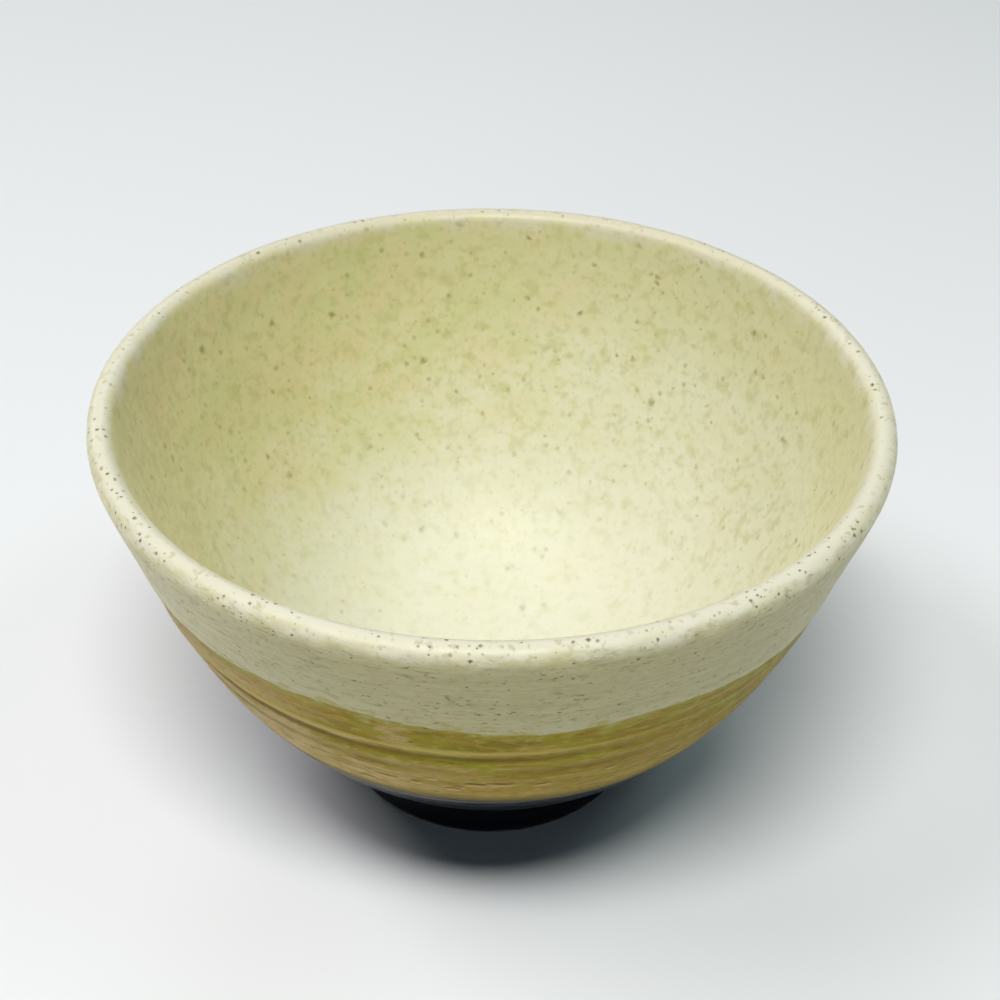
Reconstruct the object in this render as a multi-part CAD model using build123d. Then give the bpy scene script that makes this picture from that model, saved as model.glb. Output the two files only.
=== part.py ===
"""Matcha bowl: a wheel-thrown stoneware bowl with a trimmed foot ring and fused glaze coats.

Millimetres, +Z up. The origin is the centre of the foot ring's resting face, and +Z is the bowl's axis.
Every piece is a revolved section. Sections are drawn in the XZ plane, so a point is (radius, height).
The clay body is one solid. Each coat of glaze is its own solid, COAT thick, lying on the clay, and
neighbouring coats meet edge to edge.
"""

from build123d import *
import os
from math import cos, radians, sin

# Overall form, measured on the glazed surface
RIM_RADIUS = 60.0  # where the outer wall turns into the lip
RIM_HEIGHT = 68.4
RIM_SLOPE = 73.2  # outer wall's angle from level, degrees, just below the lip
LIP_RADIUS = 2.0  # the lip is a full round
BELLY_SLOPE = 40.0  # outer wall's angle from level where it leaves the foot
BELLY_PULL = 30.8  # length of the outer curve's handle at the foot
RIM_PULL = 28.8  # length of the outer curve's handle at the rim

# Inside of the bowl
FLOOR_HEIGHT = 11.5  # lowest point of the drinking surface
FLOOR_PULL = 34.0  # length of the inner curve's handle at the floor's centre
INNER_SLOPE = 75.5  # inner wall's angle from level at the lip
INNER_PULL = 33.0  # length of the inner curve's handle at the lip

# Foot ring
FOOT_TOP_RADIUS = 25.0  # where the foot meets the belly
FOOT_TOP_HEIGHT = 6.7
FOOT_BASE_RADIUS = 25.5
FOOT_BEVEL = 0.2  # on the outer edge of the resting face
RING_WIDTH = 4.6  # width of the resting face
RECESS_RADIUS = 19.6  # where the foot's inner wall meets the recess ceiling
RECESS_HEIGHT = 5.2
NUB_RADIUS = 6.0  # the small raised centre left by the trimming tool
NUB_HEIGHT = 0.9

# Glaze
COAT = 0.5
AMBER_TOP = 53.2  # height where the amber band meets the cream coat
BLACK_TOP = 28.6  # height where the black coat meets the amber band
FOOT_LINE = 0.4  # the black coats were wiped off below this height, which leaves bare clay


def polar(length, degrees):
    return Vector(length * cos(radians(degrees)), length * sin(radians(degrees)))


def bezier_part(points, start, end):
    """Control points for the stretch of a cubic Bezier between two parameters (de Casteljau)."""

    def split(p, t):
        a, b, c = (p[i] * (1 - t) + p[i + 1] * t for i in range(3))
        d, e = a * (1 - t) + b * t, b * (1 - t) + c * t
        middle = d * (1 - t) + e * t
        return (p[0], a, d, middle), (middle, e, c, p[3])

    tail = split(points, start)[1]
    return split(tail, (end - start) / (1 - start))[0]


def parameter_at(points, height):
    """Where a rising cubic Bezier reaches a height, by bisection."""
    low, high = 0.0, 1.0
    for _ in range(50):
        middle = (low + high) / 2
        if bezier_part(points, 0, middle)[3].Y < height:
            low = middle
        else:
            high = middle
    return low


def outer_curve(depth):
    """Outside of the wall from foot to lip, at a depth below the glazed surface."""
    foot = Vector(FOOT_TOP_RADIUS, FOOT_TOP_HEIGHT) - polar(depth, BELLY_SLOPE - 90)
    rim = LIP_CENTRE + polar(LIP_RADIUS - depth, RIM_SLOPE - 90)
    return foot, foot + polar(BELLY_PULL, BELLY_SLOPE), rim - polar(RIM_PULL, RIM_SLOPE), rim


def inner_curve(depth):
    """Drinking surface from the floor's centre to the lip, at a depth below the glazed surface."""
    centre = Vector(0, FLOOR_HEIGHT - depth)
    rim = LIP_CENTRE + polar(LIP_RADIUS - depth, INNER_SLOPE + 90)
    return centre, centre + Vector(FLOOR_PULL, 0), rim - polar(INNER_PULL, INNER_SLOPE), rim


def lip_arc(depth):
    """Round of the lip at a depth, from the inside over the crest to the outside."""
    angles = (INNER_SLOPE + 90, 90, RIM_SLOPE - 90)
    return ThreePointArc(*(LIP_CENTRE + polar(LIP_RADIUS - depth, angle) for angle in angles))


def outer_wall(depth, top, bottom):
    """Stretch of the outer curve, from a point on it down to another, both given as its parameters."""
    return Bezier(*reversed(bezier_part(outer_curve(depth), bottom, top)))


def foot_wall(depth, bottom):
    """Top and bottom of the foot ring's outer wall, which flares slightly, cut off at a height."""
    top = outer_curve(depth)[0]
    base = Vector(FOOT_BASE_RADIUS - depth, 0)
    return top, base + (top - base) * (bottom / top.Y)


def recess(depth, bottom):
    """Underside inside the foot ring: its wall from a height up, then the ceiling and the centre nub."""
    ceiling = RECESS_HEIGHT + depth
    lean = (RING_INNER_RADIUS - RECESS_RADIUS) * bottom / ceiling
    return (
        Vector(RING_INNER_RADIUS - lean + depth, bottom),
        Vector(RECESS_RADIUS + depth, ceiling),
        Vector(NUB_RADIUS, ceiling),
        Vector(0, ceiling - NUB_HEIGHT),
    )


def revolved(edges):
    """Turns a closed section drawn as (radius, height) about the bowl's axis."""
    return revolve(Plane.XZ * make_face(edges), Axis.Z)


def coat(draw):
    """A coat of glaze: draw(depth) gives its edges, once for the surface and once for the clay below."""
    surface, clay_side = draw(0), draw(COAT)
    caps = [Line(surface[0] @ 0, clay_side[0] @ 0), Line(surface[-1] @ 1, clay_side[-1] @ 1)]
    return revolved([*surface, *clay_side, *caps])


def clay_body():
    """Thrown wall and floor with the trimmed foot ring, bare clay, in one solid."""
    underside = [
        *foot_wall(COAT, FOOT_LINE),
        foot_wall(0, FOOT_LINE)[1],  # below the wiped line the clay stands flush with the glaze above it
        foot_wall(0, FOOT_BEVEL)[1],
        Vector(RING_OUTER_RADIUS, 0),
        *recess(COAT, 0),
        inner_curve(COAT)[0],
    ]
    return revolved(
        [Bezier(*outer_curve(COAT)), lip_arc(COAT), Bezier(*inner_curve(COAT)), Polyline(*underside)]
    )


def cream_glaze():
    """Speckled cream coat on the drinking surface, over the lip and down to the amber band."""
    return coat(lambda d: [Bezier(*inner_curve(d)), lip_arc(d), outer_wall(d, 1, AMBER_START)])


def amber_glaze():
    """Streaked ash-glaze band round the middle of the outside."""
    return coat(lambda d: [outer_wall(d, AMBER_START, BLACK_START)])


def black_glaze():
    """Gloss black coat under the belly and down the outside of the foot ring."""
    return coat(lambda d: [outer_wall(d, BLACK_START, 0), Line(*foot_wall(d, FOOT_LINE))])


def foot_recess_glaze():
    """Gloss black coat inside the foot ring."""
    return coat(lambda d: [Polyline(*recess(d, FOOT_LINE))])


LIP_CENTRE = Vector(RIM_RADIUS, RIM_HEIGHT) - polar(LIP_RADIUS, RIM_SLOPE - 90)
RING_OUTER_RADIUS = FOOT_BASE_RADIUS - FOOT_BEVEL
RING_INNER_RADIUS = RING_OUTER_RADIUS - RING_WIDTH - COAT
AMBER_START = parameter_at(outer_curve(0), AMBER_TOP)
BLACK_START = parameter_at(outer_curve(0), BLACK_TOP)

os.makedirs("parts", exist_ok=True)
for piece in (clay_body, cream_glaze, amber_glaze, black_glaze, foot_recess_glaze):
    export_step(piece(), f"parts/{piece.__name__}.step")
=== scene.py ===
"""Blender scene of the matcha bowl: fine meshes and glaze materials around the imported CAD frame.

Metres, +Z up, origin at the centre of the foot's resting face, as in the CAD. Every visible surface starts
from the section of its CAD node, is turned about the axis as a fine grid, and gets the marks of the hand:
an uneven rim and glaze lines, turning rings, gouges and wiped glaze edges.
Angles run round the bowl from the side that faces the camera, positive towards +X.
"""

from math import cos, pi, radians, sin

import bmesh
import bpy
import numpy as np
from mathutils import Matrix, Vector


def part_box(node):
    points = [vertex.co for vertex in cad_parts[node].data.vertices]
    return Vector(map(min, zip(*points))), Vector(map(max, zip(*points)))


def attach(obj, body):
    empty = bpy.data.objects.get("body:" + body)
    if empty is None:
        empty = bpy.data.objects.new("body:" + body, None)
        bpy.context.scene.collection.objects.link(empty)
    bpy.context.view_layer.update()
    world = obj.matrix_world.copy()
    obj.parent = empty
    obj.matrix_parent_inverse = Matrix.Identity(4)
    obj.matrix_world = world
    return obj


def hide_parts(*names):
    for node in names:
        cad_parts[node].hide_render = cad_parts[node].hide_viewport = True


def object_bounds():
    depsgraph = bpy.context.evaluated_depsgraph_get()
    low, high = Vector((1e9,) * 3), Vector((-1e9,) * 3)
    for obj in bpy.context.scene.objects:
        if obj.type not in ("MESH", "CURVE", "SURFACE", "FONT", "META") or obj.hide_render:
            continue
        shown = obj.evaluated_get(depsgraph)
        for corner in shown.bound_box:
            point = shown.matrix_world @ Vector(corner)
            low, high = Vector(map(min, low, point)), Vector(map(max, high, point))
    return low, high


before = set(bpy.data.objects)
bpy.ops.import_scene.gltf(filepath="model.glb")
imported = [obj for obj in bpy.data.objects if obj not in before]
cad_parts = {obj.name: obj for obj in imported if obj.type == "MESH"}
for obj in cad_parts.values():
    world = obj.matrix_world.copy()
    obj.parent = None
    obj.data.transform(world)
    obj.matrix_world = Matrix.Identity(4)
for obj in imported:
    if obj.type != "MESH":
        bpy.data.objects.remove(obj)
cad_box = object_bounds()

MM = 0.001
SEED = 7
SIDES = 512  # points round each surface
HALF_SIDES = 256  # points round the clay and the foot recess, which are mostly hidden
HAIR = 1e-3 * MM  # points closer together than this are one point
FINE_STEP = 0.02 * MM  # spacing of the table that holds a smooth outline
SHARP_TURN = radians(25)  # a bigger turn between two stretches of a section is a corner

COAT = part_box("cream_glaze")[1].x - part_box("clay_body")[1].x
HEIGHT = cad_box[1].z
RIM_RADIUS = cad_box[1].x


# ---------------------------------------------------------------- sections of the CAD nodes

def section(node):
    """Outline of a CAD node in the half-plane y = 0, x > 0, as ordered (radius, height) rows."""
    bm = bmesh.new()
    bm.from_mesh(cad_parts[node].data)
    bmesh.ops.remove_doubles(bm, verts=bm.verts, dist=HAIR)
    everything = [*bm.verts, *bm.edges, *bm.faces]
    bmesh.ops.bisect_plane(
        bm, geom=everything, dist=HAIR / 10, plane_co=(0, 0, 0), plane_no=(0, 1, 0),
        clear_inner=True, clear_outer=True,
    )
    cut = [v for v in bm.verts if v.co.x > -HAIR]
    kept = set(cut)
    neighbours = {v: [e.other_vert(v) for e in v.link_edges if e.other_vert(v) in kept] for v in cut}
    ends = [v for v in cut if len(neighbours[v]) == 1]
    chain = [ends[0] if ends else cut[0]]
    seen = {chain[0]}
    while True:
        onward = [v for v in neighbours[chain[-1]] if v not in seen]
        if not onward:
            break
        chain.append(onward[0])
        seen.add(onward[0])
    rows = np.array([(max(v.co.x, 0.0), v.co.z) for v in chain])
    bm.free()
    return rows


def gap_to(points, line):
    """Distance of each point from a chain of straight stretches."""
    a, b = line[:-1], line[1:]
    along = b - a
    length = np.maximum((along ** 2).sum(1), HAIR ** 3)
    share = (((points[:, None] - a) * along).sum(2) / length).clip(0, 1)
    return np.linalg.norm(points[:, None] - a - share[..., None] * along, axis=2).min(1)


def glazed_side(node, clay):
    """The stretch of a coat's section that faces the air, in order."""
    rows = section(node)
    free = gap_to(rows, clay) > COAT / 2
    start = next(i for i in range(len(rows)) if free[i] and not free[i - 1])
    return np.array([row for row, out in zip(np.roll(rows, -start, 0), np.roll(free, -start)) if out])


class Outline:
    """A smooth curve through a chain of points, with the air on its left.

    A place on it is given by its length along the curve.
    """

    def __init__(self, points):
        steps = np.linalg.norm(np.diff(points, axis=0), axis=1)
        points = points[np.r_[True, steps > HAIR]]
        knots = np.r_[0, np.cumsum(np.linalg.norm(np.diff(points, axis=0), axis=1))]
        self.length = knots[-1]
        self.at = np.arange(0, self.length, FINE_STEP)
        self.points = np.column_stack([self._smooth(knots, points, i) for i in (0, 1)])
        slope = np.gradient(self.points, self.at, axis=0)
        slope /= np.linalg.norm(slope, axis=1)[:, None]
        self.normals = np.column_stack([-slope[:, 1], slope[:, 0]])

    def _smooth(self, knots, points, axis):
        """Cubic Hermite through the points, straight into and out of each corner."""
        gaps = np.diff(knots)
        slopes = np.diff(points, axis=0) / gaps[:, None]
        mid = (slopes[:-1] * gaps[1:, None] + slopes[1:] * gaps[:-1, None]) / (gaps[:-1] + gaps[1:])[:, None]
        turn = np.arccos((slopes[:-1] * slopes[1:]).sum(1).clip(-1, 1))
        corner = turn > SHARP_TURN
        out = np.vstack([slopes[:1], np.where(corner[:, None], slopes[1:], mid)])[:, axis]
        into = np.vstack([np.where(corner[:, None], slopes[:-1], mid), slopes[-1:]])[:, axis]
        i = np.searchsorted(knots, self.at, side="right").clip(1, len(gaps)) - 1
        t = (self.at - knots[i]) / gaps[i]
        p, q = points[i, axis], points[i + 1, axis]
        return (
            p * (2 * t ** 3 - 3 * t ** 2 + 1) + q * (3 * t ** 2 - 2 * t ** 3)
            + gaps[i] * (out[i] * (t ** 3 - 2 * t ** 2 + t) + into[i] * (t ** 3 - t ** 2))
        )

    def rounded(self, radius):
        """The same curve with its corners eased over a length, its ends kept."""
        width = int(radius / FINE_STEP)
        bell = np.hanning(2 * width + 1)
        bell /= bell.sum()
        for rows in (self.points, self.normals):
            for i in (0, 1):
                padded = np.pad(rows[:, i], width, mode="reflect", reflect_type="odd")
                rows[:, i] = np.convolve(padded, bell, mode="valid")
        self.normals /= np.linalg.norm(self.normals, axis=1)[:, None]
        return self

    def place(self, lengths):
        """(radius, height, normal's radius, normal's height) at lengths along the curve."""
        table = (*self.points.T, *self.normals.T)
        return [np.interp(lengths, self.at, column) for column in table]

    def length_at_height(self, height):
        """Length along the curve where its last, falling stretch passes a height."""
        falling = len(self.at) - 1 - np.argmax(self.points[::-1, 1] > height)
        return self.at[falling]


# ---------------------------------------------------------------- noise and unevenness

def smoothstep(low, high, x):
    """0 below low, 1 above high, and eased in between."""
    t = ((x - low) / (high - low)).clip(0, 1)
    return t * t * (3 - 2 * t)


def lattice(i, j, k, seed):
    """A repeatable value from 0 to 1 for each whole-number place, scattered by large odd numbers."""
    mixed = (i * 374761393 + j * 668265263 + k * 2147483647 + seed * 1274126177) & 0xFFFFFFFF
    mixed = ((mixed ^ (mixed >> 13)) * 1103515245) & 0xFFFFFFFF
    return ((mixed ^ (mixed >> 16)) & 0xFFFF) / 0xFFFF


def noise(x, y, z, seed):
    """Smooth noise from -1 to 1 with features about one unit wide."""
    whole = [np.floor(c).astype(np.int64) for c in (x, y, z)]
    part = [c - w for c, w in zip((x, y, z), whole)]
    part = [p * p * (3 - 2 * p) for p in part]
    total = np.zeros(np.broadcast(x, y, z).shape)
    for corner in range(8):
        step = [(corner >> b) & 1 for b in range(3)]
        weight = np.prod([p if s else 1 - p for s, p in zip(step, part)], axis=0)
        total += weight * lattice(*(w + s for w, s in zip(whole, step)), seed + SEED)
    return total * 2 - 1


def layered(x, y, z, seed, layers=3):
    """Noise with finer layers added, still about -1 to 1."""
    total = sum(noise(x * 2 ** n, y * 2 ** n, z * 2 ** n, seed + n) / 2 ** n for n in range(layers))
    return total / sum(1 / 2 ** n for n in range(layers))


def round_noise(angle, radius, height, wide, tall, seed, layers=3):
    """Noise on the bowl's surface, with features of a width round the bowl and a height in millimetres."""
    across = radius / (wide * MM)
    return layered(np.sin(angle) * across, -np.cos(angle) * across, height / (tall * MM), seed, layers)


def ring_noise(angle, radius, wide, seed, layers=3):
    """Noise round a level ring, with its radius and the width of its features in millimetres."""
    return round_noise(angle, radius * MM, 0 * angle, wide, 1, seed, layers)


# How far the potter's hand strayed from round and level
RIM_TILT = 0.12 * MM
RIM_TILT_ANGLE = radians(80)  # the side where the rim is highest
RIM_WAVE = 0.12 * MM
OUT_OF_ROUND = -0.12 * MM

# How far the edges of the coats stray along the wall
AMBER_TILT = 2.0 * MM
AMBER_WAVE = 0.75 * MM
AMBER_RIPPLE = 0.45 * MM
BLACK_TILT = 0.5 * MM
BLACK_WAVE = 0.5 * MM
BLACK_RIPPLE = 0.25 * MM
WIPED_LINE = 0.08 * MM
WIPED_THIN = 0.03 * MM  # thickness lost by the black coats at their wiped edge
WIPED_WIDE = 0.8 * MM  # and how far in from it


def lean(angle, radius, height):
    """Moves a point by the bowl's gentle unevenness, which grows from nothing at the foot to the rim."""
    share = smoothstep(0.1 * HEIGHT, HEIGHT, height) * (radius / RIM_RADIUS).clip(0, 1)
    lift = RIM_TILT * np.cos(angle - RIM_TILT_ANGLE) + RIM_WAVE * np.sin(3 * angle + 1.0)
    spread = OUT_OF_ROUND * np.cos(2 * angle + 0.6)
    return radius + share * spread, height + share * lift


def amber_line(angle):
    """How far the cream coat's lower edge strays along the wall, positive downwards."""
    sway = AMBER_TILT * np.sin(angle + radians(5)) - AMBER_WAVE * np.cos(7 * (angle + radians(22)))
    return sway + AMBER_RIPPLE * ring_noise(angle, 60, 5, 11, layers=4)


def black_line(angle):
    """The same for the amber band's lower edge."""
    sway = BLACK_TILT * np.sin(2 * angle) - BLACK_WAVE * np.cos(6 * angle + radians(20))
    return sway + BLACK_RIPPLE * ring_noise(angle, 45, 7, 12)


def foot_line(angle):
    """The same, upwards only, for the wiped edge of the black coats at the foot."""
    ripple = 0.4 * np.cos(5 * angle) + 0.6 * ring_noise(angle, 25, 6, 13)
    return -WIPED_LINE * (1 + ripple)


# ---------------------------------------------------------------- the glazed surface

clay_outline = section("clay_body")
if clay_outline[0, 1] < clay_outline[-1, 1]:
    clay_outline = clay_outline[::-1]  # from the floor of the bowl, over the lip, to the foot recess


def downhill(rows):
    """The chain, turned so that it starts at the axis or, away from the axis, at its top."""
    first, last = rows[0], rows[-1]
    return rows if first[0] < HAIR or (last[0] > HAIR and first[1] > last[1]) else rows[::-1]


cream_side, amber_side, black_side = (
    downhill(glazed_side(node, clay_outline)) for node in ("cream_glaze", "amber_glaze", "black_glaze")
)
recess_side = downhill(glazed_side("foot_recess_glaze", clay_outline))[::-1]


def wiped_end():
    """The black coat's lowest point, where the clay comes up flush with it."""
    rows = section("black_glaze")
    lowest = rows[rows[:, 1] < rows[:, 1].min() + 0.01 * MM]
    return lowest[np.argmax(lowest[:, 0])]


SKIN_EASE = 1.0 * MM  # length over which the glaze rounds off a corner
skin = Outline(np.vstack([cream_side, amber_side, black_side, wiped_end()])).rounded(SKIN_EASE)
AMBER_AT = skin.length_at_height(amber_side[0, 1])  # lengths along the skin, from the floor's centre
BLACK_AT = skin.length_at_height(black_side[0, 1])
LIP_AT = skin.at[np.argmax(skin.points[:, 1])]
FOOT_AT = skin.at[-1]

# Lines the wheel left in the outside: height and width in millimetres, and depth, negative for a ridge
WHEEL_LINES = [
    (60.0, 2.0, -0.06), (57.0, 2.5, 0.04), (47.4, 1.4, -0.22), (45.3, 2.0, 0.34), (43.4, 1.6, -0.05),
    (41.0, 2.6, 0.20), (37.7, 1.3, 0.14), (31.5, 1.6, 0.06),
]
LINE_TILT = 0.5  # millimetres that the lines climb and sink once round the bowl
LINE_SWAY = 0.3  # the same, in three waves
LINE_WANDER = 0.25  # the same, unevenly
STRONG_LINE = 0.2  # a line deeper than this is cut deeper on one side of the bowl
FULL_FURROW = 0.28  # depth at which a groove has its full painted shade and a ridge its full painted highlight

# Gouges at the front of the amber band, cut while the clay was leather hard: degrees, height and length
GOUGES = [
    (2, 37.2, 5), (-2, 36.9, 4), (-6, 34.8, 3), (-5, 35.7, 2), (-17, 36.2, 4.5),
    (-12, 36.0, 2), (-28, 37.6, 4), (-36, 36.4, 3), (-9, 38.0, 2), (9, 36.6, 3),
    (20, 38.5, 2.5), (-21, 33.5, 3), (32, 36.0, 3), (-45, 39.0, 4),
]
GOUGE_COUNT = 90  # further ones, strewn round the rest of the band
GOUGE_TALL = 0.7 * MM
GOUGE_BEND = 0.18 * MM

# Height of the marks that the hand and the tools left in the surface, in millimetres
SOFT_SWELL = 0.08
FINGER_RINGS = 0.05
FINGER_PITCH = 4.8 * MM
LIP_SWELL = 0.12
BRUSH_LINES = 0.03
BEAD = 0.10  # the cream coat's thick lower edge
SCRAPED_FINE = 0.035
SCRAPED_BROAD = 0.05
TRIM_RINGS = 0.025
TRIM_PITCH = 2.6 * MM
GOUGE_DEEP = 0.18


def furrows(angle, height):
    """Depth of the wheel's lines in millimetres, positive for a groove."""
    level = height / MM + LINE_TILT * np.sin(angle + 0.5) - LINE_SWAY * np.sin(3 * angle)
    level = level + LINE_WANDER * ring_noise(angle, 50, 9, 27)
    total = np.zeros(angle.shape)
    lopsided = 0.7 - 0.4 * np.sin(angle + 0.3)
    for at, width, depth in WHEEL_LINES:
        depth = depth * lopsided if abs(depth) > STRONG_LINE else depth
        fade = 0.7 + 0.65 * round_noise(angle, 50 * MM, at * MM + 0 * angle, 14, 1, 26)
        total += depth * fade * np.exp(-(((level - at) / (width / 2)) ** 2))
    return total


def gouges():
    """Angle, length along the skin, half width and depth of every gouge."""
    dice = np.random.default_rng(SEED)
    cuts = [(radians(a), skin.length_at_height(h * MM), w * MM / 2, 1.0) for a, h, w in GOUGES]
    for _ in range(GOUGE_COUNT):
        angle = dice.uniform(0.25, 1.75) * pi
        along = BLACK_AT - abs(dice.normal(0, 7)) * MM - 1.5 * MM
        cuts.append((angle, max(along, AMBER_AT + 4 * MM), dice.uniform(0.8, 4) * MM, dice.uniform(0.3, 1)))
    return cuts


def gouge_depth(angle, along, radius):
    """0 on the untouched band to 1 at the bottom of the deepest gouge."""
    total = np.zeros(angle.shape)
    for at, where, half, deep in gouges():
        across = ((angle - at + pi) % (2 * pi) - pi) * radius / half
        bend = GOUGE_BEND * np.sin(2.2 * across + at * 20) * (1 - across ** 2).clip(0, 1)
        up = (along - where - bend) / (GOUGE_TALL / 2)
        total = np.maximum(total, deep * (1 - across ** 2 - up ** 2).clip(0, 1) ** 0.7)
    return total


def skin_places(angle, along):
    """Millimetres past the lip, below the amber line and above the black line."""
    past_lip = (along - LIP_AT) / MM
    below_cream = (along - AMBER_AT - amber_line(angle)) / MM
    above_black = (BLACK_AT + black_line(angle) - along) / MM
    return past_lip, below_cream, above_black


def relief(angle, along):
    """How far the glazed surface stands above its smooth outline, in metres."""
    radius, height = skin.place(along)[:2]
    past_lip, below_cream, above_black = skin_places(angle, along)
    inside = 1 - smoothstep(-6, -1, past_lip)
    outside = smoothstep(1, 4, past_lip)
    on_amber = smoothstep(0, 0.8, below_cream) * smoothstep(0, 0.8, above_black)
    on_black = smoothstep(0, 0.8, -above_black)

    soft = round_noise(angle, radius, height, 22, 14, 21)
    turning = np.sin(2 * pi * along / FINGER_PITCH + angle) * (0.6 + 0.4 * soft)
    swell = inside * (FINGER_RINGS * turning + SOFT_SWELL * soft)
    on_lip = (1 - inside) * (1 - smoothstep(2, 6, past_lip))
    lip = on_lip * LIP_SWELL * round_noise(angle, radius, height, 14, 8, 22)
    brushed = outside * (1 - on_black) * BRUSH_LINES * round_noise(angle, radius, height, 9, 0.55, 23)
    bead = outside * BEAD * smoothstep(0, 0.7, -below_cream) * smoothstep(-5, -1, below_cream)
    slanting = height + 0.8 * MM * np.sin(angle)
    scraped = on_amber * (
        SCRAPED_FINE * round_noise(angle, radius, slanting, 2.6, 0.9, 24)
        + SCRAPED_BROAD * round_noise(angle, radius, height, 9, 2.4, 25)
        - GOUGE_DEEP * gouge_depth(angle, along, radius)
    )
    lines = -outside * (1 - on_black) * furrows(angle, height)
    trimmed = on_black * TRIM_RINGS * np.sin(2 * pi * along / TRIM_PITCH + 2 * angle)
    wiped = -WIPED_THIN * (1 - smoothstep(0, WIPED_WIDE, FOOT_AT - along))
    return (swell + lip + brushed + bead + scraped + lines + trimmed) * MM + wiped


# ---------------------------------------------------------------- meshes

# Distances between rings of points, closer where the shape has detail
HIDDEN_EVERY = 6  # the underside of a coat has one ring for this many on its face
INSIDE_STEP = 1.15 * MM
LIP_REACH = 5 * MM
LIP_STEP = 0.3 * MM
BAND_STEP = 0.2 * MM
BLACK_STEP = 0.3 * MM
RECESS_STEP = 0.35 * MM
CLAY_STEP = 1.0 * MM
FOOT_STEP = 0.15 * MM

# The foot: the clay round the ring that it stands on, and the recess
FOOT_BEFORE = 3 * MM  # fine rings start this far before the clay's lowest point
FOOT_AFTER = 8 * MM  # and end this far past it
GRIT = 0.05 * MM
CLAY_SINK = 0.01 * MM  # keeps the hidden clay clear of its coats
CLAY_EASE = 0.12 * MM  # length over which a corner is rounded off
RECESS_EASE = 1.2 * MM
RECESS_RINGS = 0.05 * MM
RECESS_PITCH = 3.1 * MM


def round_the_bowl(sides):
    """Evenly spaced angles, once round."""
    return np.linspace(0, 2 * pi, sides, endpoint=False)


AROUND = round_the_bowl(SIDES)


def turned(outline, angles, lengths, offset):
    """Rows of points on a turned surface: one row per ring, one point per angle."""
    radius, height, out_r, out_z = outline.place(lengths)
    radius, height = lean(angles, radius + offset * out_r, height + offset * out_z)
    return np.stack([radius * np.sin(angles), -radius * np.cos(angles), height], axis=-1)


def rings_between(start, end, step, start_wave=0.0, end_wave=0.0):
    """Lengths of evenly spaced rings between two lines that may be wavy: one row per ring."""
    share = np.linspace(0, 1, max(round((end - start) / step), 1) + 1)[:, None]
    return start + start_wave + share * (end + end_wave - start - start_wave)


def lathe(name, rings, closed=False, tips=(None, None), values=None):
    """A mesh from rings of points.

    closed joins the last ring to the first, and a tip closes an end on the axis. values maps attribute
    names to one row of numbers per ring.
    """
    count, sides = len(rings), len(rings[0])
    here = np.arange(sides)
    following = np.roll(here, -1)
    faces = []
    for i in range(count if closed else count - 1):
        a, b = i * sides, (i + 1) % count * sides
        faces += np.column_stack([a + here, b + here, b + following, a + following]).tolist()
    points = np.concatenate(rings)
    for tip, ring in ((tips[0], 0), (tips[1], count - 1)):
        if tip is not None:
            a, b = (here, following) if ring == 0 else (following, here)
            centre = np.full(sides, len(points))
            faces += np.column_stack([ring * sides + a, ring * sides + b, centre]).tolist()
            points = np.vstack([points, tip])
    mesh = bpy.data.meshes.new(name)
    mesh.from_pydata(points.tolist(), [], faces)
    mesh.polygons.foreach_set("use_smooth", np.ones(len(mesh.polygons), bool))
    mesh.set_sharp_from_angle(angle=radians(60))
    for key, rows in (values or {}).items():
        column = np.zeros(len(points), np.float32)
        column[: rows.size] = rows.ravel()
        column[count * sides :] = rows[0, 0]
        mesh.attributes.new(key, "FLOAT", "POINT").data.foreach_set("value", column)
    return mesh


def piece(mesh, node, material):
    """Puts a finished mesh in the scene in place of its CAD node."""
    made = bpy.data.objects.new(mesh.name, mesh)
    bpy.context.scene.collection.objects.link(made)
    mesh.materials.append(material)
    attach(made, "root")
    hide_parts(node)
    return made


def on_axis(outline, at, offset):
    """A point on the bowl's axis, at an offset above the outline's start or end."""
    _, height, _, out_z = outline.place(at)
    return (0.0, 0.0, float(height + offset * out_z))


def sparse(lengths):
    """The rings of a coat's hidden underside: fewer of them, from the last back to the first."""
    return lengths[[*range(len(lengths) - 1, 0, -HIDDEN_EVERY), 0]]


def skin_coat(name, lengths, from_centre=False):
    """A coat of glaze over the clay, between its first and last ring, closed underneath."""
    lengths = np.broadcast_to(lengths, (len(lengths), SIDES))
    angle_rows = np.broadcast_to(AROUND, lengths.shape)
    face = turned(skin, AROUND, lengths, relief(angle_rows, lengths))
    under = turned(skin, AROUND, sparse(lengths), -COAT)
    radius, height = skin.place(lengths)[:2]
    past_lip, below_cream, above_black = skin_places(angle_rows, lengths)
    values = {
        "past_lip": past_lip,
        "below_cream": below_cream,
        "above_black": above_black,
        "furrow": furrows(angle_rows, height) / FULL_FURROW,
    }
    if name == "amber_coat":
        values["gouge"] = gouge_depth(angle_rows, lengths, radius)
        values["gouge_lip"] = gouge_depth(angle_rows, lengths - GOUGE_TALL, radius)  # just below each gouge, where its painted highlight goes
    centre = float(relief(np.zeros(1), np.zeros(1))[0])
    tips = (on_axis(skin, 0, centre), on_axis(skin, 0, -COAT)) if from_centre else (None, None)
    return lathe(name, [*face, *under], closed=not from_centre, tips=tips, values=values)


def cream_lengths():
    """Rings of the cream coat: wide apart inside, close over the lip and down to the amber line."""
    start, turn, after = INSIDE_STEP, LIP_AT - LIP_REACH, LIP_AT + LIP_REACH
    level = [rings_between(start, turn, INSIDE_STEP), rings_between(turn, after, LIP_STEP)[1:]]
    flat = np.broadcast_to(np.vstack(level), (sum(map(len, level)), SIDES))
    return np.vstack([flat, rings_between(after, AMBER_AT, LIP_STEP, 0, amber_line(AROUND))[1:]])


def amber_lengths():
    """Rings of the amber band, between its two wandering edges."""
    return rings_between(AMBER_AT, BLACK_AT, BAND_STEP, amber_line(AROUND), black_line(AROUND))


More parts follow.
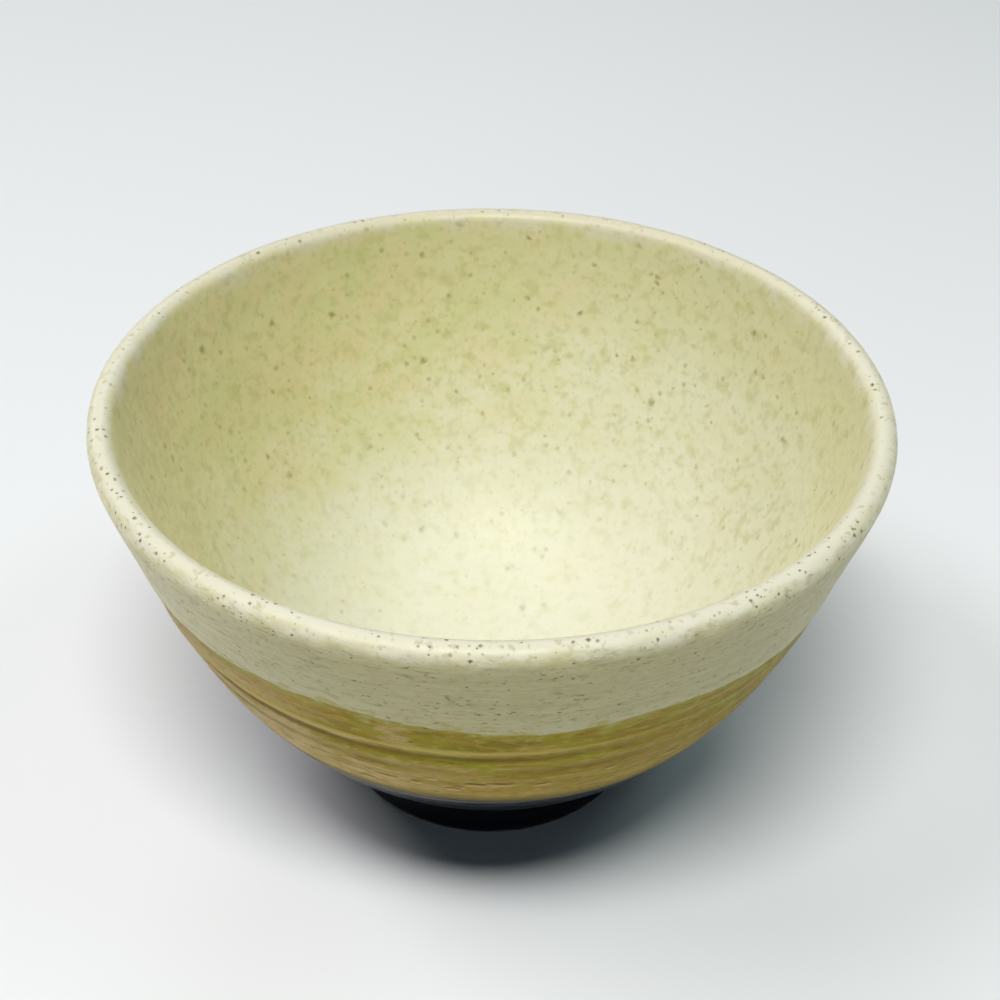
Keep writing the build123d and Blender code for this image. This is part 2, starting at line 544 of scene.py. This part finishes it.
def black_lengths():
    """Rings of the black coat, from the amber band to its wiped edge at the foot."""
    return rings_between(BLACK_AT, FOOT_AT, BLACK_STEP, black_line(AROUND), foot_line(AROUND))


def recess_coat():
    """The black coat under the foot, from its wiped edge to the centre nub."""
    outline = Outline(recess_side).rounded(RECESS_EASE)
    angles = round_the_bowl(HALF_SIDES)
    lengths = rings_between(0, outline.length - FINE_STEP, RECESS_STEP, -foot_line(angles), 0 * angles)[:-1]
    wiped = -WIPED_THIN * (1 - smoothstep(0, WIPED_WIDE, lengths))
    trimmed = RECESS_RINGS * np.sin(2 * pi * lengths / RECESS_PITCH + angles)
    shown = turned(outline, angles, lengths, wiped + trimmed)
    under = turned(outline, angles, sparse(lengths), -COAT)
    end = outline.at[-1]
    tips = (on_axis(outline, end, -COAT), on_axis(outline, end, 0.0))
    return lathe("recess_coat", [*under, *shown], tips=tips)


def clay_pot():
    """The clay itself. Only the ring it stands on shows, with the grit and wear of a wiped, unglazed edge."""
    outline = Outline(clay_outline).rounded(CLAY_EASE)
    angles = round_the_bowl(HALF_SIDES)
    base = outline.at[np.argmin(outline.points[:, 1])]
    start, end = base - FOOT_BEFORE, base + FOOT_AFTER
    lengths = np.vstack([
        rings_between(CLAY_STEP, start, CLAY_STEP),
        rings_between(start, end, FOOT_STEP)[1:],
        rings_between(end, outline.length - CLAY_STEP, CLAY_STEP)[1:],
    ])
    lengths = np.broadcast_to(lengths, (len(lengths), HALF_SIDES))
    radius, height = outline.place(lengths)[:2]
    shown = smoothstep(start, start + MM, lengths) * (1 - smoothstep(end - MM, end, lengths))
    angle_rows = np.broadcast_to(angles, lengths.shape)
    grit = shown * GRIT * (round_noise(angle_rows, radius, height, 0.8, 0.8, 31) - 1)
    grit = grit * smoothstep(0.02 * MM, 0.3 * MM, height)  # the lowest ring stays flat on the table
    rings = turned(outline, angles, lengths, grit - CLAY_SINK * (1 - shown))
    tips = (on_axis(outline, 0, 0.0), on_axis(outline, outline.at[-1], 0.0))
    return lathe("clay_pot", rings, tips=tips)


# ---------------------------------------------------------------- materials

def rgb(red, green, blue):
    return (red, green, blue, 1.0)


class Graph:
    """A material's node tree with its Principled shader, and short ways to add nodes to it.

    Widths, heights and distances between features are in millimetres. A shift picks another stretch of
    the same noise.
    """

    def __init__(self, name):
        self.material = bpy.data.materials.new(name)
        self.material.use_nodes = True
        self.tree = self.material.node_tree
        self.shader = self.tree.nodes["Principled BSDF"]
        self.place = self.node("TexCoord").outputs["Object"]
        self.across, self.back, self.up = self.node("SeparateXYZ", {0: self.place}).outputs

    def node(self, kind, inputs=(), **settings):
        made = self.tree.nodes.new("ShaderNode" + kind)
        for key, value in settings.items():
            setattr(made, key, value)
        for key, value in dict(inputs).items():
            self.feed(made.inputs[key], value)
        return made

    def feed(self, socket, value):
        """Links the value to the socket if it is an output, and sets it there if it is a plain value."""
        if isinstance(value, bpy.types.NodeSocket):
            self.tree.links.new(value, socket)
        else:
            socket.default_value = value

    def maths(self, operation, a, b=0.0):
        return self.node("Math", {0: a, 1: b}, operation=operation).outputs[0]

    def times(self, first, *others):
        for other in others:
            first = self.maths("MULTIPLY", first, other)
        return first

    def remap(self, value, low, high, to_low=0.0, to_high=1.0):
        """Eases value from to_low at low to to_high at high."""
        inputs = {"Value": value, "From Min": low, "From Max": high, "To Min": to_low, "To Max": to_high}
        return self.node("MapRange", inputs, interpolation_type="SMOOTHSTEP").outputs["Result"]

    def blend(self, share, a, b):
        made = self.node("Mix", data_type="RGBA")
        self.feed(made.inputs["Factor"], share)
        for socket, value in zip([s for s in made.inputs if s.type == "RGBA"], (a, b)):
            self.feed(socket, value)
        return next(s for s in made.outputs if s.type == "RGBA")

    def layer(self, colour, tone, share, *masks):
        """Lays a tone over the colour, in a share from 0 to 1, cut down by a strength and any masks."""
        return self.blend(self.times(share, *masks), colour, tone)

    def per_mm(self, wide, tall=None, shift=0.0):
        """Coordinates with one unit per feature of a width and height."""
        tall = tall or wide
        scale = (1 / (wide * MM), 1 / (wide * MM), 1 / (tall * MM))
        moved = self.node("VectorMath", {0: self.place, 1: scale}, operation="MULTIPLY").outputs[0]
        return self.node("VectorMath", {0: moved, 1: (shift, shift * 1.7, shift * 2.3)}).outputs[0]

    def noise(self, wide, tall=None, shift=0.0, detail=3.0, roughness=0.5):
        place = self.per_mm(wide, tall, shift)
        inputs = {"Vector": place, "Scale": 1.0, "Detail": detail, "Roughness": roughness}
        return self.node("TexNoise", inputs).outputs["Fac"]

    def patches(self, wide, tall, shift, low, high, detail=3.0):
        """Soft patches: 0 where the noise is under low, and 1 where it is over high."""
        return self.remap(self.noise(wide, tall, shift, detail), low, high)

    def wander(self, wide, tall, shift, reach, detail=3.0):
        """Noise from -reach to reach, for lines that stray."""
        return self.remap(self.noise(wide, tall, shift, detail), 0.3, 0.7, -reach, reach)

    def specks(self, apart, size, share, softness=0.3, flat=1.0, shift=0.0):
        """Spots some distance apart, in a share of the places: 1 in a spot."""
        where = self.per_mm(apart, apart * flat, shift)
        wobble = self.node("TexNoise", {"Vector": where, "Scale": 3.0, "Detail": 2.0}).outputs["Color"]
        wobble = self.node("VectorMath", {0: wobble, 1: (0.4, 0.4, 0.4)}, operation="MULTIPLY").outputs[0]
        where = self.node("VectorMath", {0: where, 1: wobble}).outputs[0]
        cell = self.node("TexVoronoi", {"Vector": where, "Scale": 1.0})
        dice = self.node("SeparateColor", {0: cell.outputs["Color"]})
        chosen = self.maths("LESS_THAN", dice.outputs[0], share)
        reach = self.remap(dice.outputs[1], 0.0, 1.0, 0.45 * size / apart, size / apart)
        near = self.maths("DIVIDE", cell.outputs["Distance"], reach)
        return self.times(self.remap(near, 1.0, 1.0 - softness), chosen)

    def value(self, name):
        """An attribute of the mesh, as skin_coat wrote it."""
        return self.node("Attribute", attribute_name=name).outputs["Fac"]

    def tint_shine(self, colour):
        """Colours the reflections and the sheen, as a tinted glaze does."""
        self.feed(self.shader.inputs["Specular Tint"], colour)
        self.feed(self.shader.inputs["Sheen Tint"], colour)

    def finish(self, colour, roughness, height=None, depth=0.1, shine=0.5, sheen=0.0):
        """Feeds the shader. height, from 0 to 1, becomes a bump of a depth in millimetres."""
        self.feed(self.shader.inputs["Base Color"], colour)
        self.feed(self.shader.inputs["Roughness"], roughness)
        self.feed(self.shader.inputs["Specular IOR Level"], shine)
        self.feed(self.shader.inputs["Sheen Weight"], sheen)
        if height is not None:
            bump = self.node("Bump", {"Height": height, "Distance": depth * MM, "Strength": 1.0})
            self.feed(self.shader.inputs["Normal"], bump.outputs["Normal"])
        return self.material


# The cream coat, inside, with painted light and shade by place: a painted glow at the bottom, lighter to the
# right and at the far left, darker on the left wall and high on the right
CREAM_BOTTOM_PAINTED_GLOW = rgb(0.68, 0.66, 0.54)  # painted glow at the bottom of the bowl, where the broad highlight falls
CREAM_BOTTOM_RIGHT_PAINTED_GLOW = rgb(0.75, 0.73, 0.60)
CREAM_LEFT_PAINTED_SHADE = rgb(0.67, 0.608, 0.317)  # painted shade on the left wall
CREAM_FAR_LEFT_PAINTED_LIGHT = rgb(0.72, 0.65, 0.345)
CREAM_RIGHT_PAINTED_LIGHT = rgb(0.70, 0.68, 0.485)
CREAM_RIGHT_HIGH_PAINTED_SHADE = rgb(0.655, 0.62, 0.375)
CREAM_GREEN = rgb(0.58, 0.58, 0.26)  # soft patches
CREAM_TAN = rgb(0.68, 0.56, 0.30)
SPECK_SOFT = rgb(0.40, 0.38, 0.10)
SPECK_OLIVE = rgb(0.25, 0.21, 0.045)

# The cream coat, on the lip and outside
CREAM_LIP = rgb(0.73, 0.68, 0.53)
# Painted shade: the lip's cream darkens towards the back.
CREAM_LIP_BACK_PAINTED_SHADE = rgb(0.68, 0.62, 0.455)
LIP_GOLD = rgb(0.58, 0.53, 0.25)  # warm bloom under the crest of the lip
CREAM_OUTSIDE = rgb(0.47, 0.42, 0.205)
# Painted light: the outside cream turns lighter towards the left.
CREAM_OUTSIDE_LEFT_PAINTED_LIGHT = rgb(0.57, 0.52, 0.285)
CREAM_SEAM = rgb(0.50, 0.475, 0.28)  # the thick edge of the coat above the amber line
CREAM_GREY = rgb(0.36, 0.325, 0.15)
SPECK_BROWN = rgb(0.14, 0.115, 0.001)
SPECK_DARK = rgb(0.085, 0.062, 0.004)
CREAM_SHINE = rgb(1.0, 0.93, 0.66)

# The amber band
OLIVE = rgb(0.325, 0.288, 0.012)
DARK_OLIVE = rgb(0.15, 0.12, 0.001)
PALE_OLIVE = rgb(0.37, 0.32, 0.055)
BROWN = rgb(0.17, 0.105, 0.002)
RUST = rgb(0.355, 0.205, 0.020)
OCHRE = rgb(0.335, 0.238, 0.014)
TAN = rgb(0.37, 0.252, 0.035)
PINK_TAN = rgb(0.55, 0.395, 0.155)
SLIP = rgb(0.54, 0.41, 0.105)
# Painted shade inside each gouge.
GOUGE_PAINTED_SHADE = rgb(0.18, 0.115, 0.04)
LOWER_EDGE_PAINTED_SHADE = rgb(0.08, 0.06, 0.012)  # painted shade where the band's lower edge turns under towards the shaded floor
AMBER_SHINE = rgb(1.0, 0.82, 0.25)

# The black coats and the clay
BLACK_COOL = rgb(0.0005, 0.0005, 0.0007)
BLACK_WARM = rgb(0.0015, 0.0013, 0.0012)
CLAY_DARK = rgb(0.14, 0.08, 0.045)
CLAY_PALE = rgb(0.27, 0.17, 0.11)
CLAY_GRIT = rgb(0.04, 0.03, 0.02)

# Patches inside: width, height, shift of the green ones, shift of the tan ones, strength
MOTTLES = [(15, 9, 3.0, 9.0, 1.0), (2.6, 2.0, 31.0, 37.0, 0.8)]
# Faint clouds inside: size, noise at which they start and are full, strength, shift
CLOUDS = [(2.4, 0.48, 0.74, 0.34, 41.0), (1.2, 0.50, 0.74, 0.26, 45.0)]
# Spots inside: distance apart, size, share of the places that have one, strength, shift
SPOTS = [(1.6, 0.60, 0.34, 0.36, 4.0), (2.0, 0.75, 0.30, 0.58, 7.0), (3.2, 1.0, 0.22, 0.85, 10.0)]
# Flecks outside: width, height, noise at which they start and are full, strength, shift
FLECKS = [
    (2.0, 0.8, 0.55, 0.70, 0.40, 51.0),
    (1.2, 0.5, 0.61, 0.71, 0.95, 55.0),
    (3.5, 1.0, 0.54, 0.70, 0.28, 58.0),
]


def ragged_edge(g):
    """Millimetres below the amber line, made ragged in the same way in the two coats that meet there."""
    ragged = g.maths("ADD", g.wander(3.2, 1.6, 71.0, 1.2, 2.0), g.wander(1.0, 0.7, 73.0, 0.5, 2.0))
    return g.maths("ADD", g.value("below_cream"), ragged)


def cream_base(g, past_lip, outside):
    """The cream's colour, from the bottom of the bowl up to the lip and down the outside, with painted light
    and shade by place.
    """
    # Painted light and shade inside: a glow at the bottom, lighter to the right and at the far left, darker
    # on the left wall and high on the right.
    deep = g.blend(g.remap(g.across, 15 * MM, 50 * MM), CREAM_BOTTOM_PAINTED_GLOW, CREAM_BOTTOM_RIGHT_PAINTED_GLOW)
    left = g.blend(g.remap(g.across, -40 * MM, -56 * MM), CREAM_LEFT_PAINTED_SHADE, CREAM_FAR_LEFT_PAINTED_LIGHT)
    right = g.blend(g.remap(g.up, 48 * MM, 62 * MM), CREAM_RIGHT_PAINTED_LIGHT, CREAM_RIGHT_HIGH_PAINTED_SHADE)
    wall = g.blend(g.remap(g.across, -40 * MM, 35 * MM), left, right)
    colour = g.blend(g.remap(g.up, 15 * MM, 58 * MM), deep, wall)
    high = g.remap(g.up, 20 * MM, 50 * MM, 0.10, 0.50)
    mottled = g.times(high, g.remap(g.across, 45 * MM, -30 * MM, 0.25, 1.0))
    for wide, tall, green_at, tan_at, strength in MOTTLES:
        green = g.patches(wide, tall, green_at, 0.46, 0.62)
        tan = g.patches(wide, tall, tan_at, 0.48, 0.64)
        colour = g.layer(colour, CREAM_GREEN, green, strength, mottled)
        colour = g.layer(colour, CREAM_TAN, tan, strength, mottled)
    uneven = g.maths("ADD", past_lip, g.wander(5, 3, 81.0, 1.4))
    # Painted shade: the lip darkens towards the back.
    lip = g.blend(g.remap(g.back, 15 * MM, 50 * MM), CREAM_LIP, CREAM_LIP_BACK_PAINTED_SHADE)
    colour = g.blend(g.remap(uneven, -4.6, -0.8), colour, lip)
    # Painted light: the outside turns lighter towards the left.
    outer = g.blend(g.remap(g.across, -22 * MM, -44 * MM), CREAM_OUTSIDE, CREAM_OUTSIDE_LEFT_PAINTED_LIGHT)
    return g.blend(outside, colour, outer)


def inside_specks(g, colour, inside):
    """Soft olive clouds and spots, fainter towards the bottom."""
    plain = g.remap(g.up, 12 * MM, 45 * MM, 0.4, 1.0)
    for size, low, high, strength, shift in CLOUDS:
        cloud = g.patches(size, size, shift, low, high, 2.0)
        colour = g.layer(colour, SPECK_SOFT, cloud, strength, inside, plain)
    for apart, size, share, strength, shift in SPOTS:
        spots = g.specks(apart, size, share, 1.0, 1.0, shift)
        colour = g.layer(colour, SPECK_OLIVE, spots, strength, inside, plain)
    return colour


def outside_marks(g, colour, past_lip, outside, streaks):
    """Fine lines from the wheel, clustered flecks, smudges on the lip and a bloom under it."""
    colour = g.layer(colour, CREAM_GREY, g.remap(streaks, 0.40, 0.64), 0.40, outside)
    colour = g.layer(colour, CREAM_SEAM, g.patches(2.2, 0.7, 91.0, 0.52, 0.66), 0.40, outside)
    clustered = g.remap(g.noise(7, 4, 89.0, 2.0), 0.42, 0.58, 0.4, 1.0)
    for wide, tall, low, high, strength, shift in FLECKS:
        fleck = g.patches(wide, tall, shift, low, high, 2.0)
        colour = g.layer(colour, SPECK_BROWN, fleck, strength, outside, clustered)
    smudge = g.patches(1.3, 0.8, 93.0, 0.56, 0.70, 2.0)
    colour = g.layer(colour, CREAM_GREY, smudge, 0.45, g.remap(past_lip, -1.5, 0.5))
    under_crest = g.times(g.remap(past_lip, 0.0, 2.0), g.remap(past_lip, 6.0, 3.5))
    return g.layer(colour, LIP_GOLD, g.patches(6, 1.4, 95.0, 0.44, 0.62), 0.4, under_crest)


def lip_pits(g, past_lip):
    """Small pits in two sizes, crowded on the lip and sparse below it."""
    crowded = g.remap(past_lip, 6.0, 1.0, 0.22, 0.60)
    coarse = g.specks(1.3, 0.46, crowded, 0.7, 0.8, 12.0)
    fine = g.specks(0.8, 0.30, g.times(crowded, 0.5), 0.7, 0.8, 15.0)
    clustered = g.remap(g.noise(7, 5, 87.0), 0.40, 0.52, 0.2, 1.0)
    return g.times(g.maths("MAXIMUM", coarse, fine), g.remap(past_lip, -2.5, -0.5), clustered)


def cream_material():
    """Satin speckled cream: soft olive specks inside, sharper and drawn-out ones outside."""
    g = Graph("speckled_cream")
    past_lip = g.value("past_lip")
    outside = g.remap(g.maths("ADD", past_lip, g.wander(3, 1.4, 83.0, 0.7)), 1.0, 4.8)
    inside = g.remap(past_lip, -0.5, -3.0)
    streaks = g.noise(20, 0.5, 2.0, 4.0)
    pits = lip_pits(g, past_lip)
    colour = inside_specks(g, cream_base(g, past_lip, outside), inside)
    colour = outside_marks(g, colour, past_lip, outside, streaks)
    colour = g.layer(colour, SPECK_DARK, pits, 0.88)
    edge = ragged_edge(g)
    seam = g.remap(edge, -3.6, -1.8)
    colour = g.layer(colour, CREAM_SEAM, seam, 0.6, g.patches(9, 2, 85.0, 0.45, 0.6))
    colour = g.blend(g.remap(edge, -1.2, 0.0), colour, PALE_OLIVE)
    colour = g.blend(g.remap(edge, 0.0, 1.6), colour, OLIVE)
    grain = g.noise(0.8, 0.8, 5.0, 3.0)
    height = g.maths("SUBTRACT", g.times(grain, 0.25), g.times(pits, 0.7))
    height = g.maths("ADD", height, g.times(streaks, outside, 0.5))
    roughness = g.remap(g.noise(3, 3, 8.0), 0.3, 0.7, 0.38, 0.50)
    g.tint_shine(CREAM_SHINE)
    return g.finish(colour, roughness, height, 0.06, shine=g.remap(past_lip, -8, -1, 0.22, 0.42), sheen=0.34)


def amber_top(g, below):
    """The band's upper part: patches of olive, ochre and rust, rustier on the left, paler on the right."""
    colour = g.blend(g.patches(9, 4, 61.0, 0.46, 0.60, 2.0), OLIVE, OCHRE)
    colour = g.layer(colour, RUST, g.patches(7, 3.2, 17.0, 0.52, 0.62, 2.0), 0.6)
    dark = g.patches(5, 2.0, 65.0, 0.48, 0.64)
    colour = g.layer(colour, DARK_OLIVE, dark, 0.5, g.remap(below, 12.0, 3.0, 0.5, 1.0))
    on_right = g.remap(g.across, 8 * MM, 30 * MM)
    colour = g.layer(colour, PALE_OLIVE, on_right, 0.65, g.remap(below, 7.0, 4.0))
    colour = g.layer(colour, RUST, g.remap(g.across, -8 * MM, -26 * MM), 0.5)
    rusty = g.patches(6, 2.4, 99.0, 0.44, 0.56)
    return g.layer(colour, RUST, rusty, 0.4, g.remap(g.across, 2 * MM, 14 * MM))


def amber_base(g, below):
    """Patchy at the top and tan or ochre lower down, with the change lower on the left than on the right."""
    side = g.remap(g.across, -26 * MM, 4 * MM)
    lower = g.blend(side, PINK_TAN, TAN)
    lower = g.layer(lower, OCHRE, g.patches(6, 2.2, 69.0, 0.44, 0.60), 0.7)
    edge = g.maths("ADD", below, g.wander(12, 5, 6.0, 6.0))
    edge = g.maths("ADD", edge, g.remap(side, 0.0, 1.0, 3.5, 0.0))
    edge = g.maths("ADD", edge, g.remap(g.across, 4 * MM, 26 * MM, 0.0, 4.5))
    colour = g.blend(g.remap(edge, 10.0, 18.0), amber_top(g, below), lower)
    far_left = g.remap(g.across, -18 * MM, -36 * MM)
    return g.layer(colour, PINK_TAN, far_left, 0.7, g.remap(below, 0.0, 6.0, 0.5, 1.0))


def pale_gap(g, colour, below):
    """A gap in the olive, a little left of the front, where the pink tan reaches up to the cream."""
    middle = g.remap(g.noise(5, 2, 75.0), 0.3, 0.7, 11 * MM, 15 * MM)
    off = g.maths("ABSOLUTE", g.maths("ADD", g.across, middle))
    gap = g.times(g.remap(off, 3.2 * MM, 0.8 * MM), g.remap(below, 7.5, 5.5))
    return g.layer(colour, PINK_TAN, gap, 0.7, g.remap(g.back, -20 * MM, -40 * MM))


def amber_lines(g, colour, grain):
    """Brown and pale grain drawn round the bowl, with painted shade in the wheel's grooves and a painted
    highlight on its ridges.
    """
    colour = g.layer(colour, BROWN, g.remap(grain, 0.50, 0.70), 0.4)
    colour = g.layer(colour, SLIP, g.patches(2.0, 0.9, 13.0, 0.52, 0.70), 0.4)
    colour = g.layer(colour, SLIP, g.patches(14, 0.9, 14.0, 0.54, 0.66), 0.35)
    on_right = g.remap(g.across, 4 * MM, 22 * MM)
    colour = g.layer(colour, BROWN, g.patches(9, 0.8, 97.0, 0.50, 0.62), 0.25, on_right)
    furrow = g.value("furrow")
    # Painted shade in the wheel's grooves, and a painted highlight on its ridges.
    colour = g.layer(colour, BROWN, g.remap(furrow, 0.10, 0.80), 0.85)
    return g.layer(colour, SLIP, g.remap(furrow, -0.06, -0.4), 0.85)


def amber_material():
    """Ash glaze drawn round the bowl, with gouges, painted shade and highlights at its lines and gouges, and
    painted shade towards its lower edge where it meets the black coat.
    """
    g = Graph("streaked_amber")
    below, above_black = g.value("below_cream"), g.value("above_black")
    grain = g.noise(1.6, 0.75, 3.0, 3.0, 0.6)
    colour = pale_gap(g, amber_base(g, below), below)
    colour = g.layer(colour, OCHRE, g.remap(above_black, 3.5, 0.8), 0.5)
    colour = amber_lines(g, colour, grain)
    edge = ragged_edge(g)
    colour = g.blend(g.remap(edge, 1.8, 0.0), colour, PALE_OLIVE)
    colour = g.blend(g.remap(edge, 0.0, -1.2), colour, CREAM_OUTSIDE)
    # A painted highlight on the lower lip of each gouge, and painted shade inside it.
    colour = g.layer(colour, PINK_TAN, g.remap(g.value("gouge_lip"), 0.1, 0.5), 0.9)
    colour = g.layer(colour, GOUGE_PAINTED_SHADE, g.remap(g.value("gouge"), 0.1, 0.6), 0.75)
    # Painted shade towards the band's lower edge, where it turns under above the black coat.
    colour = g.layer(colour, LOWER_EDGE_PAINTED_SHADE, g.remap(above_black, 5.0, 0.0), 0.8)
    colour = g.layer(colour, SPECK_DARK, g.specks(2.0, 0.4, 0.16, 0.6, 0.6, 3.0), 0.7)
    g.tint_shine(AMBER_SHINE)
    return g.finish(colour, g.remap(grain, 0.3, 0.7, 0.38, 0.52), grain, 0.10, shine=0.07)


def black_material():
    """Wet-looking gloss black."""
    g = Graph("gloss_black")
    colour = g.blend(g.noise(9, 3, 2.0), BLACK_COOL, BLACK_WARM)
    roughness = g.remap(g.noise(4, 4, 1.0), 0.3, 0.7, 0.08, 0.16)
    return g.finish(colour, roughness, g.noise(3.5, 2.0, 5.0), 0.02)


def clay_material():
    """Bare brown stoneware with fine grit."""
    g = Graph("brown_stoneware")
    colour = g.blend(g.patches(2.5, 2.5, 1.0, 0.3, 0.7, 4.0), CLAY_DARK, CLAY_PALE)
    colour = g.blend(g.specks(0.9, 0.28, 0.4, 0.5, 1.0, 2.0), colour, CLAY_GRIT)
    return g.finish(colour, g.remap(g.noise(1.2), 0.3, 0.7, 0.75, 0.95), g.noise(0.35, 0.35, 3.0), 0.08)


# ---------------------------------------------------------------- build

black = black_material()
piece(skin_coat("cream_coat", cream_lengths(), from_centre=True), "cream_glaze", cream_material())
piece(skin_coat("amber_coat", amber_lengths()), "amber_glaze", amber_material())
piece(skin_coat("black_coat", black_lengths()), "black_glaze", black)
piece(recess_coat(), "foot_recess_glaze", black)
piece(clay_pot(), "clay_body", clay_material())


# ---------------------------------------------------------------- floor, light and camera

CAMERA_AT = Vector((0.0, -202.66, 202.13)) * MM
CAMERA_DOWN = 0.6460  # radians below level
CAMERA_LEFT = -0.0066
CAMERA_ROLL = 0.0164
LENS = 57.6
SENSOR = 36.0
FOCUS = 0.21  # on the front of the bowl
APERTURE = 80
FLOOR_HALF = 3.0
FLOOR_WHITE = rgb(0.81, 0.80, 0.80)
FADE_START = 0.6  # distance from the bowl at which the floor starts to fade to the surround
FADE_END = 2.4
SURROUND = rgb(0.60, 0.62, 0.63)  # what the camera sees beyond the lit floor
SKY_BLUE = rgb(0.25, 0.6, 1.0)
SKY_STRENGTH = 0.04
LAMP_DISTANCE = 1.4


def camera():
    """Looks down into the bowl from the front, with a slight blur away from the front of the bowl."""
    data = bpy.data.cameras.new("camera")
    data.sensor_width = SENSOR
    data.lens = LENS
    data.dof.use_dof = True
    data.dof.focus_distance = FOCUS
    data.dof.aperture_fstop = APERTURE
    made = bpy.data.objects.new("camera", data)
    turn = Matrix.Rotation(CAMERA_LEFT, 4, "Z") @ Matrix.Rotation(pi / 2 - CAMERA_DOWN, 4, "X")
    made.matrix_world = Matrix.Translation(CAMERA_AT) @ turn @ Matrix.Rotation(CAMERA_ROLL, 4, "Z")
    bpy.context.scene.collection.objects.link(made)
    bpy.context.scene.camera = made


def floor():
    """A plain pale sheet. The camera alone sees it fade to the surround, which adds no light."""
    mesh = bpy.data.meshes.new("floor")
    corners = [(x * FLOOR_HALF, y * FLOOR_HALF, 0) for x, y in ((-1, -1), (1, -1), (1, 1), (-1, 1))]
    mesh.from_pydata(corners, [], [(0, 1, 2, 3)])
    made = bpy.data.objects.new("floor", mesh)
    g = Graph("floor_paper")
    mesh.materials.append(g.finish(FLOOR_WHITE, 0.6, shine=0.2))
    away = g.node("VectorMath", {0: g.place}, operation="LENGTH").outputs["Value"]
    seen = g.node("LightPath").outputs["Is Camera Ray"]
    g.feed(g.shader.inputs["Emission Color"], SURROUND)
    g.feed(g.shader.inputs["Emission Strength"], g.times(seen, g.remap(away, FADE_START, FADE_END)))
    bpy.context.scene.collection.objects.link(made)


def lamp(name, azimuth, elevation, power, colour, wide=0.36, tall=0.36):
    """A soft light aimed at the bowl. Azimuth 0 is beyond the bowl and 90 is to its right."""
    data = bpy.data.lights.new(name, "AREA")
    data.shape = "ELLIPSE"
    data.size, data.size_y = wide, tall
    data.energy = power
    data.color = colour
    made = bpy.data.objects.new(name, data)
    a, e = radians(azimuth), radians(elevation)
    made.location = Vector((sin(a) * cos(e), cos(a) * cos(e), sin(e))) * LAMP_DISTANCE
    made.rotation_mode = "QUATERNION"
    made.rotation_quaternion = made.location.to_track_quat("Z", "Y")
    bpy.context.scene.collection.objects.link(made)


def sky():
    """A faint light from all round. The camera itself sees the pale surround in its place."""
    world = bpy.data.worlds.new("sky")
    world.use_nodes = True
    tree = world.node_tree
    back = tree.nodes["Background"]
    back.inputs["Color"].default_value = SKY_BLUE
    back.inputs["Strength"].default_value = SKY_STRENGTH
    shown = tree.nodes.new("ShaderNodeBackground")
    shown.inputs["Color"].default_value = SURROUND
    either = tree.nodes.new("ShaderNodeMixShader")
    path = tree.nodes.new("ShaderNodeLightPath")
    tree.links.new(path.outputs["Is Camera Ray"], either.inputs[0])
    tree.links.new(back.outputs[0], either.inputs[1])
    tree.links.new(shown.outputs[0], either.inputs[2])
    tree.links.new(either.outputs[0], tree.nodes["World Output"].inputs["Surface"])
    bpy.context.scene.world = world


camera()
floor()
lamp("overhead_front", 187, 69, 15.0, (0.97, 1.0, 0.99), wide=0.74, tall=0.26)
lamp("overhead_left", 265, 60, 5.1, (1.0, 0.97, 1.0), wide=0.6)
lamp("overhead_right", 95, 60, 2.1, (0.8, 1.0, 0.95), wide=0.6)
lamp("back", 352, 38, 1.8, (0.92, 1.0, 1.0), wide=0.5)
lamp("low_back", 320, 20, 2.0, (1.0, 1.0, 0.95))
lamp("low_front", 200, 20, 0.75, (0.9, 1.0, 1.0))
sky()
bpy.context.scene.view_settings.view_transform = "Standard"
